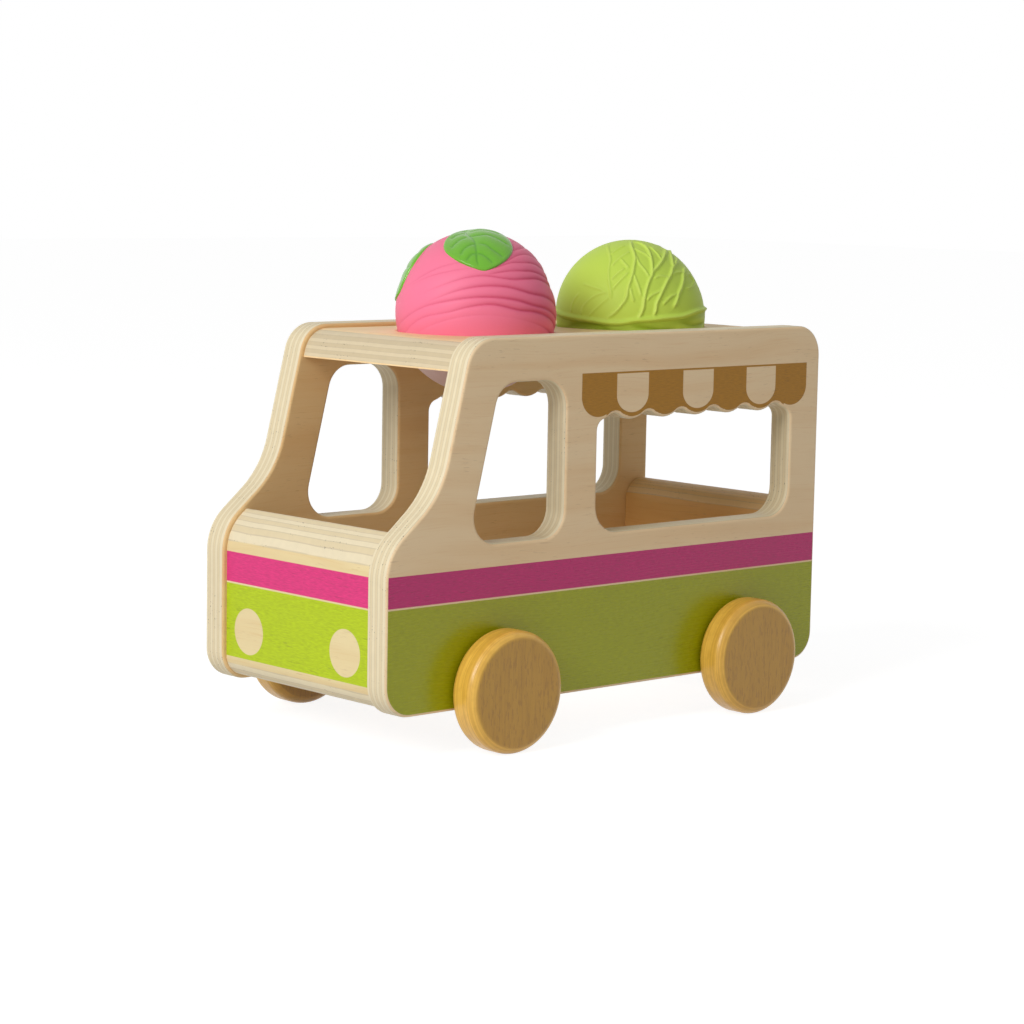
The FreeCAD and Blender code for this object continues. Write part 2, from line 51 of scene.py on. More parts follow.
# The plywood's thickness, the height of the panels' foot, and the boards' outer faces
PLY_BOARD = 0.012
PANEL_FOOT = 0.0183
SIDE_FACE = 0.06
END_FACE = 0.123
ROOF_FACE = 0.1663
# The scoops' radius and middles
SCOOP_RADIUS = 0.0342
FRONT_MIDDLE = np.array([0.02748, 0.0, 0.17457])
REAR_MIDDLE = np.array([-0.06384, 0.0, 0.17186])


def linear(red, green, blue):
    """The linear colour of an 8-bit screen colour, by the standard's two-part curve."""
    levels = np.array([red, green, blue]) / 255
    curve = np.where(levels <= 0.04045, levels / 12.92, ((levels + 0.055) / 1.055) ** 2.4)
    return (*curve.tolist(), 1.0)


# Colours of the woods, paints and rubbers
SIDE_VENEER = linear(244, 216, 174)
FRONT_VENEER = linear(230, 211, 162)
ROOF_VENEER = linear(246, 216, 165)
# The inner and rear veneers are darker, warmer copies that paint the shade on the faces looking into the
# truck
SHADED_INNER_VENEER = linear(234, 198, 142)
SHADED_REAR_VENEER = linear(224, 176, 108)
VENEER_FIGURE = linear(232, 199, 153)
VENEER_PORE = linear(176, 138, 98)
PALE_PLY = linear(230, 216, 183)
DARK_PLY = linear(221, 204, 166)
ROOF_PALE_PLY = linear(217, 200, 166)
ROOF_DARK_PLY = linear(206, 188, 153)
REAR_PALE_PLY = linear(226, 192, 140)
REAR_DARK_PLY = linear(222, 186, 132)
GLUE_LINE = linear(182, 162, 132)
PIN_HOLE = linear(96, 78, 60)
FRONT_MAGENTA = linear(217, 48, 120)
FRONT_GREEN = linear(177, 198, 2)
# The side magenta and green are darker copies of the front's paints, which paint the side panels' shade
SHADED_SIDE_MAGENTA = linear(194, 33, 108)
SHADED_SIDE_GREEN = linear(161, 166, 4)
GRAIN_SHADE = linear(70, 40, 30)
BROWN_PAINT = linear(172, 120, 30)
BEECH_FACE = linear(194, 145, 48)
BEECH_RIM = linear(240, 189, 80)
BEECH_FLECK = linear(140, 92, 40)
BEECH_RING = linear(196, 144, 48)
PALE_DOWEL = linear(226, 196, 150)
# The pink, lime and leaf crease colours paint shade into the rubbers' creases, and the lime ridge colour
# and the pale leaf colour paint light on their ridges
PINK_RUBBER = linear(246, 125, 156)
PINK_CREASE_SHADE = linear(206, 70, 104)
PINK_WORN = linear(232, 206, 196)
LIME_RUBBER = linear(194, 221, 88)
LIME_CREASE_SHADE = linear(138, 168, 30)
LIME_RIDGE_LIGHT = linear(208, 231, 112)
LEAF_GREEN = linear(108, 180, 34)
LEAF_CREASE_SHADE = linear(62, 138, 20)
LEAF_RIDGE_LIGHT = linear(126, 198, 70)
STUDIO_WHITE = (1.0, 1.0, 1.0, 1.0)
FLOOR_GREY = (0.8, 0.8, 0.8, 1.0)

# How much a paint lowers the roughness, and how soft its edge is in millimetres
SATIN, MATT = 0.25, 0.0
PAINT_SOFT = 0.12


def feed(tree, sockets, feeds):
    """Gives sockets their feeds, each a plain value or another node's output."""
    for place, value in feeds.items():
        if isinstance(value, bpy.types.NodeSocket):
            tree.links.new(value, sockets[place])
        else:
            sockets[place].default_value = value


def put(tree, kind, feeds=None, **settings):
    """A node with its settings and its feeds."""
    node = tree.nodes.new(kind)
    for name, value in settings.items():
        setattr(node, name, value)
    feed(tree, node.inputs, feeds or {})
    return node


def calc(tree, operation, *values, clamp=False):
    """The output of one Math node."""
    node = put(tree, "ShaderNodeMath", dict(enumerate(values)), operation=operation)
    node.use_clamp = clamp
    return node.outputs[0]


def times(tree, first, second):
    """The product of two values or masks."""
    return calc(tree, "MULTIPLY", first, second)


def minus(tree, first, second):
    """The first of two values less the second."""
    return calc(tree, "SUBTRACT", first, second)


def vary(tree, value, base, swing):
    """The sum base + swing times value."""
    return calc(tree, "MULTIPLY_ADD", value, swing, base)


def mix_colour(tree, mask, first, second, share=1.0, mode="MIX"):
    """The first colour with the second laid over it by a share of a mask."""
    feeds = {0: times(tree, mask, share), 6: first, 7: second}
    return put(tree, "ShaderNodeMix", feeds, data_type="RGBA", blend_type=mode).outputs[2]


def rise(tree, value, edge, soft):
    """A mask that rises smoothly from 0 to 1 between edge - soft and edge + soft."""
    feeds = {"Value": value, "From Min": edge - soft, "From Max": edge + soft}
    node = put(tree, "ShaderNodeMapRange", feeds, interpolation_type="SMOOTHSTEP")
    return node.outputs["Result"]


def fall(tree, value, edge, soft):
    """A mask that falls smoothly from 1 to 0 between edge - soft and edge + soft."""
    return minus(tree, 1.0, rise(tree, value, edge, soft))


def within(tree, value, low, high, soft):
    """A mask that is 1 between two edges."""
    return minus(tree, rise(tree, value, low, soft), rise(tree, value, high, soft))


def noise(tree, point, scale=1.0, detail=3.0, distortion=0.0):
    """Noise from 0 to 1."""
    feeds = {"Vector": point, "Scale": scale, "Detail": detail, "Distortion": distortion}
    return put(tree, "ShaderNodeTexNoise", feeds).outputs["Fac"]


def streaky(tree, point, scales, detail=3.0, distortion=0.0):
    """Noise from 0 to 1 that is drawn out along the ways with the smaller scales."""
    drawn = put(tree, "ShaderNodeMapping", {"Vector": point, "Scale": scales}).outputs[0]
    return noise(tree, drawn, detail=detail, distortion=distortion)


def turned(tree, point, turn):
    """A point turned about the origin by three angles."""
    return put(tree, "ShaderNodeMapping", {"Vector": point, "Rotation": turn}).outputs[0]


def new_group(name, inputs, outputs):
    """An empty shader node group with named inputs of given kinds and named value outputs."""
    tree = bpy.data.node_groups.new(name, "ShaderNodeTree")
    for way, sockets in (("INPUT", inputs), ("OUTPUT", dict.fromkeys(outputs, "Float"))):
        for label, kind in sockets.items():
            tree.interface.new_socket(label, in_out=way, socket_type=f"NodeSocket{kind}")
    return tree, tree.nodes.new("NodeGroupInput").outputs, tree.nodes.new("NodeGroupOutput").inputs


def use_group(tree, group, feeds):
    """The outputs of a group placed in a material with its own values."""
    return put(tree, "ShaderNodeGroup", feeds, node_tree=group).outputs


def cleared_tree(owner):
    """The emptied node tree of a material or a world."""
    owner.use_nodes = True
    owner.node_tree.nodes.clear()
    return owner.node_tree


def add_object(name, data):
    """An object at the origin, linked into the scene."""
    thing = bpy.data.objects.new(name, data)
    bpy.context.scene.collection.objects.link(thing)
    return thing


def make_ply_layers():
    """Masks of a plywood board's layers from the depth below its outer face.

    A thin face veneer lies on both faces. The layers between are equally thick and every other one
    is darker, with a thin glue line where two meet. They waver with a slow noise, and pin holes lie
    beside the glue lines in broken stretches.
    """
    veneer, layers, soft = 0.00062, 7, 0.00009
    pitch = (PLY_BOARD - 2 * veneer) / layers
    tree, given, result = new_group(
        "ply layers",
        {"Depth": "Float", "Point": "Vector"},
        ("Veneer", "Dark Ply", "Glue Line", "Pin Holes"),
    )
    point = given["Point"]
    waver = minus(tree, noise(tree, point, scale=40.0, detail=1.5), 0.5)
    depth = vary(tree, waver, base=given["Depth"], swing=0.0007)
    inside = minus(tree, given["Depth"], PLY_BOARD / 2)
    from_middle = vary(tree, waver, base=calc(tree, "ABSOLUTE", inside), swing=0.0002)
    layer = calc(tree, "DIVIDE", minus(tree, depth, veneer), pitch)
    to_and_fro = calc(tree, "PINGPONG", minus(tree, layer, 0.5), 1.0)
    seam = calc(tree, "PINGPONG", layer, 0.5)
    specks = rise(tree, noise(tree, point, scale=1500.0, detail=2.0), edge=0.66, soft=0.03)
    broken = rise(tree, noise(tree, point, scale=60.0, detail=1.0), edge=0.52, soft=0.05)
    near_glue = fall(tree, seam, edge=0.16, soft=0.06)
    feed(tree, result, {
        "Veneer": rise(tree, from_middle, PLY_BOARD / 2 - veneer, soft),
        "Dark Ply": rise(tree, to_and_fro, edge=0.56, soft=soft / pitch),
        "Glue Line": fall(tree, seam, edge=0.07, soft=0.06),
        "Pin Holes": times(tree, times(tree, specks, broken), near_glue),
    })
    return tree


def make_wood_grain():
    """Fine fibres, broad figure, short dark pores and brush strokes, all running along X.

    Each is noise drawn out along X. A slow noise lifts the grain so that it bends, and the pores
    show only in patches.
    """
    bend_lift = 0.01
    outputs = ("Fibre", "Figure", "Pore", "Stroke")
    tree, given, result = new_group("wood grain", {"Point": "Vector"}, outputs)
    point = given["Point"]
    lift = times(tree, noise(tree, point, scale=14.0, detail=1.0), bend_lift)
    upwards = put(tree, "ShaderNodeCombineXYZ", {2: lift}).outputs[0]
    bent = put(tree, "ShaderNodeVectorMath", {0: point, 1: upwards}, operation="ADD").outputs[0]
    dashes = streaky(tree, bent, scales=(160.0, 1500.0, 1500.0), detail=2.0)
    patches = streaky(tree, bent, scales=(20.0, 60.0, 60.0), detail=2.0)
    pores = rise(tree, dashes, edge=0.66, soft=0.05)
    pores = times(tree, pores, rise(tree, patches, edge=0.5, soft=0.12))
    fibre = streaky(tree, bent, scales=(45.0, 1500.0, 1500.0), detail=4.0)
    figure = streaky(tree, bent, scales=(5.0, 90.0, 90.0), distortion=0.6)
    strokes = minus(tree, streaky(tree, point, scales=(330.0, 2600.0, 2600.0), detail=2.0), 0.5)
    feed(tree, result, dict(zip(outputs, (fibre, figure, pores, strokes))))
    return tree


def make_soft_wear():
    """Faint handling marks: a slow change of tone and a fine change of gloss."""
    inputs = {"Point": "Vector", "Strength": "Float"}
    tree, given, result = new_group("soft wear", inputs, ("Tone", "Gloss"))
    slow = minus(tree, noise(tree, given["Point"], scale=22.0), 0.5)
    fine = minus(tree, noise(tree, given["Point"], scale=420.0, detail=4.0), 0.5)
    tone = times(tree, slow, given["Strength"])
    gloss = times(tree, vary(tree, fine, base=slow, swing=0.5), given["Strength"])
    feed(tree, result, {"Tone": tone, "Gloss": gloss})
    return tree


ply_layers = make_ply_layers()
wood_grain = make_wood_grain()
soft_wear = make_soft_wear()


def new_material(name):
    """A material with its tree, its object coordinates and its shader."""
    material = bpy.data.materials.new(name)
    tree = cleared_tree(material)
    point = put(tree, "ShaderNodeTexCoord").outputs["Object"]
    shader = put(tree, "ShaderNodeBsdfPrincipled")
    put(tree, "ShaderNodeOutputMaterial", {0: shader.outputs[0]})
    return material, tree, point, shader


def toned(tree, colour, tone):
    """A colour made lighter or darker by a signed tone."""
    feeds = {"Value": calc(tree, "ADD", tone, 1.0), "Color": colour}
    return put(tree, "ShaderNodeHueSaturation", feeds).outputs[0]


def finish_surface(tree, point, shader, colour, roughness, height, wear, depth, gloss=0.5):
    """Feeds a shader with a colour, a roughness and a bump, after soft wear of a given strength.

    depth is that of the bump, in metres.
    """
    worn = use_group(tree, soft_wear, {"Point": point, "Strength": wear})
    bump = put(tree, "ShaderNodeBump", {"Height": height, "Distance": depth, "Strength": 1.0})
    feed(tree, shader.inputs, {
        "Base Color": toned(tree, colour, worn["Tone"]),
        "Roughness": calc(tree, "ADD", roughness, worn["Gloss"]),
        "Normal": bump.outputs[0],
        "Specular IOR Level": gloss,
    })


def make_plywood(name, depth_of, turn, face, inner=None, paint_of=None, plies=(PALE_PLY, DARK_PLY)):
    """Birch plywood: layers on its edges, veneer on its faces, and thin paint over the grain.

    depth_of gives the depth below the outer face from the three coordinates. turn brings the
    veneer's grain to X. face is the outer veneer's colour, and inner holds a darker colour that
    paints the shade of the face that looks into the truck, and a function for its mask. paint_of
    gives for each paint its mask, its colour and how much it lowers the roughness. plies are the two
    colours of the layers.
    """
    stroke_tone = 0.6
    material, tree, point, shader = new_material(name)
    axes = put(tree, "ShaderNodeSeparateXYZ", {0: point}).outputs
    layers = use_group(tree, ply_layers, {"Depth": depth_of(tree, axes), "Point": point})
    grain = use_group(tree, wood_grain, {"Point": turned(tree, point, turn)})

    veneer = face
    # Painted shade: a darker veneer on the faces that look into the truck
    if inner:
        inner_colour, inner_of = inner
        veneer = mix_colour(tree, inner_of(tree, axes), face, inner_colour)
    figure = rise(tree, grain["Figure"], edge=0.56, soft=0.2)
    veneer = mix_colour(tree, figure, veneer, VENEER_FIGURE, share=0.28, mode="MULTIPLY")
    lines = rise(tree, grain["Fibre"], edge=0.62, soft=0.1)
    veneer = mix_colour(tree, lines, veneer, VENEER_FIGURE, share=0.18, mode="MULTIPLY")
    veneer = mix_colour(tree, grain["Pore"], veneer, VENEER_PORE, share=0.3)

    edge = mix_colour(tree, layers["Dark Ply"], *plies)
    edge = mix_colour(tree, layers["Glue Line"], edge, GLUE_LINE, share=0.5)
    edge = mix_colour(tree, layers["Pin Holes"], edge, PIN_HOLE)
    streaks = noise(tree, point, scale=260.0, detail=4.0)
    edge = toned(tree, edge, vary(tree, streaks, base=-0.06, swing=0.12))

    colour = mix_colour(tree, layers["Veneer"], edge, veneer)
    roughness = vary(tree, grain["Fibre"], base=0.46, swing=0.12)
    paints = paint_of(tree, axes) if paint_of else ()
    for mask, paint, smoother in paints:
        covered = mix_colour(tree, grain["Pore"], paint, GRAIN_SHADE, share=0.32)
        covered = toned(tree, covered, times(tree, grain["Stroke"], stroke_tone))
        colour = mix_colour(tree, mask, colour, covered)
        roughness = vary(tree, mask, base=roughness, swing=-smoother)
    height = vary(tree, grain["Pore"], base=grain["Fibre"], swing=-0.8)
    surface = {"wear": 0.1, "depth": 0.00005, "gloss": 0.42}
    finish_surface(tree, point, shader, colour, roughness, height, **surface)
    return material


def millimetres_up(tree, axes):
    """Height above the panels' lower edge in millimetres."""
    return calc(tree, "DIVIDE", minus(tree, axes[2], PANEL_FOOT), MILLIMETRE)


def stripes(tree, on_face, up, edges):
    """The two painted stripes on a face: magenta over green with a bare line between.

    edges are the heights of the magenta's top and foot and the green's top and foot.
    """
    magenta_top, magenta_foot, green_top, green_foot = edges
    magenta = times(tree, within(tree, up, magenta_foot, magenta_top, PAINT_SOFT), on_face)
    green = times(tree, within(tree, up, green_foot, green_top, PAINT_SOFT), on_face)
    return magenta, green


def side_depth(tree, axes):
    """Depth below a side panel's outer face, from the distance to the truck's middle plane."""
    return minus(tree, SIDE_FACE, calc(tree, "ABSOLUTE", axes[1]))


def awning(tree, across, up):
    """The painted awning: seven cells, every other one a bare rounded tongue in a brown border.

    With the share of the way from a cell's middle to its side, a cell's lower edge is at middle -
    height sqrt(1 - share^2). The first and last cell hang half beside the hatch. Between them the
    paint goes down to the hatch's scalloped edge. Lengths are in millimetres.
    """
    pitch, first, cells, corner = 19.66, -106.5, 7, 4.5
    top, lowest, ellipse_middle, ellipse_height = 133.8, 112.0, 124.05, 8.75
    tongue_half, tongue_top, tongue_middle, tongue_height = 9.3, 133.0, 124.0, 7.5
    last = first + (cells - 1) * pitch
    cell = calc(tree, "DIVIDE", minus(tree, across, first - pitch / 2), pitch)
    offset = minus(tree, calc(tree, "FRACT", cell), 0.5)
    sideways = times(tree, calc(tree, "ABSOLUTE", offset), pitch)

    def hangs(half, middle, height):
        """A mask of the places above a cell's half ellipse."""
        share = calc(tree, "DIVIDE", sideways, half, clamp=True)
        root = calc(tree, "SQRT", minus(tree, 1.0, calc(tree, "POWER", share, 2.0)))
        foot = minus(tree, middle, times(tree, root, height))
        return rise(tree, minus(tree, up, foot), 0.0, PAINT_SOFT)

    over_hatch = within(tree, across, first + corner, last - corner, PAINT_SOFT)
    over_hatch = times(tree, over_hatch, rise(tree, up, lowest, PAINT_SOFT))
    scallops = calc(tree, "MAXIMUM", hangs(pitch / 2, ellipse_middle, ellipse_height), over_hatch)
    span = within(tree, across, first - pitch / 2, last + pitch / 2, PAINT_SOFT)
    tall = within(tree, up, lowest, top, PAINT_SOFT)
    whole = times(tree, times(tree, span, scallops), tall)
    narrow = fall(tree, sideways, tongue_half, PAINT_SOFT)
    tongue = times(tree, hangs(tongue_half, tongue_middle, tongue_height), narrow)
    tongue = times(tree, tongue, fall(tree, up, tongue_top, PAINT_SOFT))
    odd = calc(tree, "MODULO", calc(tree, "FLOOR", cell), 2.0)
    return times(tree, whole, minus(tree, 1.0, times(tree, tongue, odd)))


def side_paint(tree, axes):
    """The side panels' paint, on their flat outer faces only. Its magenta and green are darker copies of
    the front's paints, which paint the sides' shade.
    """
    stripe_edges = (57.1, 44.5, 43.8, -5.0)
    skin, soft = 0.00005, 0.00003
    outside = rise(tree, calc(tree, "ABSOLUTE", axes[1]), SIDE_FACE - skin, soft)
    up = millimetres_up(tree, axes)
    across = calc(tree, "DIVIDE", axes[0], MILLIMETRE)
    magenta, green = stripes(tree, outside, up, stripe_edges)
    brown = times(tree, awning(tree, across, up), outside)
    return (magenta, SHADED_SIDE_MAGENTA, SATIN), (green, SHADED_SIDE_GREEN, SATIN), (brown, BROWN_PAINT, MATT)


def front_paint(tree, axes):
    """The front board's stripes, with two bare round lamps in the green one."""
    stripe_edges = (55.8, 43.1, 42.4, 11.3)
    lamp_radius, lamp_out, lamp_up = 9.8, 32.0, 23.2
    skin, soft = 0.00004, 0.00003
    in_front = rise(tree, axes[0], END_FACE - skin, soft)
    up = millimetres_up(tree, axes)
    magenta, green = stripes(tree, in_front, up, stripe_edges)
    out = calc(tree, "DIVIDE", calc(tree, "ABSOLUTE", axes[1]), MILLIMETRE)
    aside = calc(tree, "POWER", minus(tree, out, lamp_out), 2.0)
    above = calc(tree, "POWER", minus(tree, up, lamp_up), 2.0)
    from_lamp = calc(tree, "SQRT", calc(tree, "ADD", aside, above))
    green = times(tree, green, rise(tree, from_lamp, lamp_radius, PAINT_SOFT))
    return (magenta, FRONT_MAGENTA, MATT), (green, FRONT_GREEN, MATT)


def depth_from(place, axis, way):
    """A depth below a board's outer face at one place on an axis, going inwards one way."""
    def depth(tree, axes):
        """The way inwards times what lies between a point and the face."""
        return times(tree, minus(tree, axes[axis], place), way)
    return depth


def side_inner(tree, axes):
    """A mask of the side panels' faces that look into the truck, where a darker veneer paints their
    shade.
    """
    return fall(tree, calc(tree, "ABSOLUTE", axes[1]), edge=0.052, soft=0.001)


def rear_inner(tree, axes):
    """A mask of the rear board's face that looks into the truck, where a darker veneer paints its shade.
    """
    return rise(tree, axes[0], edge=-0.115, soft=0.001)


side_birch = make_plywood(
    "birch side panels", side_depth, ALONG_X, SIDE_VENEER, (SHADED_INNER_VENEER, side_inner), side_paint
)
front_depth = depth_from(END_FACE, axis=0, way=-1.0)
front_birch = make_plywood("birch front board", front_depth, ALONG_Y, FRONT_VENEER, paint_of=front_paint)
rear_depth = depth_from(-END_FACE, axis=0, way=1.0)
rear_plies = (REAR_PALE_PLY, REAR_DARK_PLY)
rear_birch = make_plywood(
    "birch rear board", rear_depth, ALONG_Y, SIDE_VENEER, (SHADED_REAR_VENEER, rear_inner), plies=rear_plies
)
roof_depth = depth_from(ROOF_FACE, axis=2, way=-1.0)
roof_plies = (ROOF_PALE_PLY, ROOF_DARK_PLY)
roof_birch = make_plywood("birch roof board", roof_depth, ALONG_X, ROOF_VENEER, plies=roof_plies)


def make_wheel_beech():
    """Oiled beech wheels: short upright flecks on the faces, and thin turned lines on the rims.

    The rim lies between the two faces' distances from the truck's middle plane.
    """
    inner_face, outer_face, soft = 0.0612, 0.07485, 0.00018
    material, tree, point, shader = new_material("honey beech wheels")
    axes = put(tree, "ShaderNodeSeparateXYZ", {0: point}).outputs
    rim = within(tree, calc(tree, "ABSOLUTE", axes[1]), inner_face, outer_face, soft)
    flecks = streaky(tree, point, scales=(1500.0, 1500.0, 330.0), detail=2.0)
    fibre = streaky(tree, point, scales=(900.0, 900.0, 60.0))
    rings = streaky(tree, point, scales=(16.0, 1500.0, 16.0), detail=2.0, distortion=0.2)
    mottle = streaky(tree, point, scales=(260.0, 420.0, 260.0), detail=2.0)

    lines = rise(tree, fibre, edge=0.55, soft=0.15)
    face = mix_colour(tree, lines, BEECH_FACE, BEECH_FLECK, share=0.2)
    marks = rise(tree, flecks, edge=0.6, soft=0.08)
    face = mix_colour(tree, marks, face, BEECH_FLECK, share=0.35)
    grooves = rise(tree, rings, edge=0.5, soft=0.12)
    side = mix_colour(tree, grooves, BEECH_RIM, BEECH_RING, share=0.5)
    clouds = rise(tree, mottle, edge=0.55, soft=0.15)
    side = mix_colour(tree, clouds, side, BEECH_RING, share=0.3)
    colour = mix_colour(tree, rim, face, side)
    roughness = vary(tree, fibre, base=0.34, swing=0.14)
    height = vary(tree, flecks, base=rings, swing=-0.5)
    surface = {"wear": 0.12, "depth": 0.00004, "gloss": 0.45}
    finish_surface(tree, point, shader, colour, roughness, height, **surface)
    feed(tree, shader.inputs, {"Coat Weight": 0.3, "Coat Roughness": 0.22})
    return material


def make_axle_beech():
    """Plain beech dowels with their grain along Y."""
    material, tree, point, shader = new_material("pale beech axles")
    grain = use_group(tree, wood_grain, {"Point": turned(tree, point, ALONG_Y)})
    fibres = rise(tree, grain["Fibre"], edge=0.5, soft=0.2)
    colour = mix_colour(tree, fibres, PALE_DOWEL, VENEER_FIGURE, share=0.4)
    colour = mix_colour(tree, grain["Pore"], colour, VENEER_PORE, share=0.5)
    rough = vary(tree, grain["Fibre"], base=0.42, swing=0.16)
    finish_surface(tree, point, shader, colour, rough, grain["Fibre"], wear=0.14, depth=0.00005)
    return material


wheel_beech = make_wheel_beech()
axle_beech = make_axle_beech()


def make_rubber(name, colours, roughness, gloss, pale_foot=None):
    """Satin rubber with painted shade in its creases and painted light on its ridges, from its relief.

    colours are those of the body, the painted shade of the creases and the painted light of the
    ridges. pale_foot holds a colour and the height in metres below which it shows, with a ragged edge.
    """
    body, crease, ridge_light = colours
    material, tree, point, shader = new_material(name)
    relief = put(tree, "ShaderNodeAttribute", attribute_name="relief").outputs["Fac"]
    # Painted shade where the relief is sunk, and painted light where it is proud
    sunk = fall(tree, relief, edge=-0.3, soft=0.26)
    colour = mix_colour(tree, sunk, body, crease, share=0.8)
    lit_ridges = rise(tree, relief, edge=0.35, soft=0.25)
    colour = mix_colour(tree, lit_ridges, colour, ridge_light, share=0.5)
    if pale_foot:
        pale, height = pale_foot
        up = put(tree, "ShaderNodeSeparateXYZ", {0: point}).outputs[2]
        ragged = vary(tree, noise(tree, point, scale=60.0, detail=4.0), base=up, swing=0.006)
        bare = fall(tree, ragged, height, soft=0.003)
        colour = mix_colour(tree, bare, colour, pale, share=0.88)
    skin = noise(tree, point, scale=900.0)
    rough = vary(tree, skin, base=roughness, swing=0.08)
    finish_surface(tree, point, shader, colour, rough, skin, wear=0.08, depth=0.00003, gloss=gloss)
    return material


def toward(latitude, longitude):
    """The unit direction at a latitude and longitude in degrees, both numbers or arrays."""
    lat, lon = np.radians(latitude), np.radians(longitude)
    return np.stack([np.cos(lat) * np.cos(lon), np.cos(lat) * np.sin(lon), np.sin(lat)], axis=-1)


def ball_grid(columns, low_rings, high_rings, split):
    """Unit directions and faces of a closed ball.

    A direction is (cos lat cos lon, cos lat sin lon, sin lat) on rings of equal latitude, which lie
    closer together above the split latitude, with one point at each pole.
    """
    low = np.linspace(-90.0, split, low_rings, endpoint=False)[1:]
    high = np.linspace(split, 90.0, high_rings, endpoint=False)
    latitudes = np.concatenate([low, high])
    longitudes = np.arange(columns) * 360.0 / columns
    on_rings = toward(*np.meshgrid(latitudes, longitudes, indexing="ij")).reshape(-1, 3)
    directions = np.concatenate([on_rings, [[0, 0, -1.0], [0, 0, 1.0]]])
    index = np.arange(len(on_rings)).reshape(len(latitudes), columns)
    east = np.roll(index, -1, axis=1)
    quads = np.stack([index[:-1], east[:-1], east[1:], index[1:]], axis=-1).reshape(-1, 4)
    south, north = len(on_rings), len(on_rings) + 1
    foot = np.stack([np.full(columns, south), east[0], index[0]], axis=-1)
    crown = np.stack([np.full(columns, north), index[-1], east[-1]], axis=-1)
    return directions, quads.tolist() + foot.tolist() + crown.tolist()


def make_piece(name, points, faces, material, relief, places):
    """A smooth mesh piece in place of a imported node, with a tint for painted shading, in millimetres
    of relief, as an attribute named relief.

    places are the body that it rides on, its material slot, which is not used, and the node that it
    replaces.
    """
    body, slot, node = places
    mesh = bpy.data.meshes.new(name)
    mesh.from_pydata(points.tolist(), [], faces)
    values = mesh.attributes.new("relief", "FLOAT", "POINT").data
    values.foreach_set("value", relief.astype(np.float32))
    mesh.shade_smooth()
    mesh.materials.append(material)
    piece = add_object(name, mesh)
    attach(piece, body)
    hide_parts(node)
    return piece


def smooth_step(value, low, high):
    """3t^2 - 2t^3 of t, the value's share of the way from low to high."""
    share = np.clip((value - low) / (high - low), 0.0, 1.0)
    return share * share * (3 - 2 * share)


def smooth_curve(knots, at):
    """Values at some places of a smooth curve through knots of a place and a value.

    Each span is the Hermite cubic of its two ends, with slopes taken from the knots beside them.
    Before the first knot and after the last their values hold.
    """
    places, values = np.array(knots, float).T
    slopes = np.gradient(values, places)
    held = np.clip(at, places[0], places[-1])
    span = np.clip(np.searchsorted(places, held, side="right") - 1, 0, len(places) - 2)
    width = places[span + 1] - places[span]
    share = (held - places[span]) / width
    return (
        (2 * share**3 - 3 * share**2 + 1) * values[span]
        + (share**3 - 2 * share**2 + share) * width * slopes[span]
        + (3 * share**2 - 2 * share**3) * values[span + 1]
        + (share**3 - share**2) * width * slopes[span + 1]
    )


def smooth_path(corners, count):
    """Points along a smooth path through corners, by the Catmull-Rom cubic of each four in a row."""
    corners = np.array(corners, float)
    padded = np.vstack([2 * corners[0] - corners[1], corners, 2 * corners[-1] - corners[-2]])
    at = np.linspace(0, len(corners) - 1 - 1e-9, count)
    span = at.astype(int)
    share = (at - span)[:, None]
    before, start, end, after = (padded[span + k] for k in range(4))
    return 0.5 * (
        2 * start
        + (end - before) * share
        + (2 * before - 5 * start + 4 * end - after) * share**2
        + (3 * start - before - 3 * end + after) * share**3
    )


def beside_path(points, path, reach):
    """The numbers of the points within reach of a path, their distances and their shares along it.

    A distance is taken square to the path at its nearest sample, so it is smooth between samples.
    """
    low, high = path.min(axis=0) - reach, path.max(axis=0) + reach
    near = np.flatnonzero(np.all((points > low) & (points < high), axis=1))
    squares = (path**2).sum(axis=1) - 2 * points[near] @ path.T
    nearest = squares.argmin(axis=1)
    tangent = np.gradient(path, axis=0)
    spacing = np.linalg.norm(tangent, axis=1)
    tangent = tangent / spacing[:, None]
    apart = points[near] - path[nearest]
    along = np.clip((apart * tangent[nearest]).sum(axis=1), -spacing[nearest], spacing[nearest])
    distance = np.linalg.norm(apart - along[:, None] * tangent[nearest], axis=1)
    return near, distance, nearest / (len(path) - 1)


def ball_path(corners, radius, turn=0.0, count=120):
    """A smooth path over a ball through corners of a latitude and a longitude in degrees."""
    latitudes, longitudes = np.array(corners, float).T
    path = smooth_path(toward(latitudes, longitudes + turn), count)
    return radius * path / np.linalg.norm(path, axis=1, keepdims=True)


def raise_along(field, points, path, reach, fade, height, profile):
    """Raises a field beside a path to height times a profile of the distance from the path.

    The height falls to nothing at both ends, between the two shares of the path in fade.
    """
    near, distance, share = beside_path(points, path, reach)
    ends = smooth_step(np.minimum(share, 1 - share), *fade)
    field[near] = np.maximum(field[near], height * ends * profile(distance))


def bell(spread):
    """The profile exp(-distance^2 / (2 spread^2))."""
    return lambda distance: np.exp(-(distance**2) / (2 * spread**2))


def crest(width, power):
    """The profile exp(-(distance / width)^power). A lower power makes its top sharper."""
    return lambda distance: np.exp(-((distance / width) ** power))


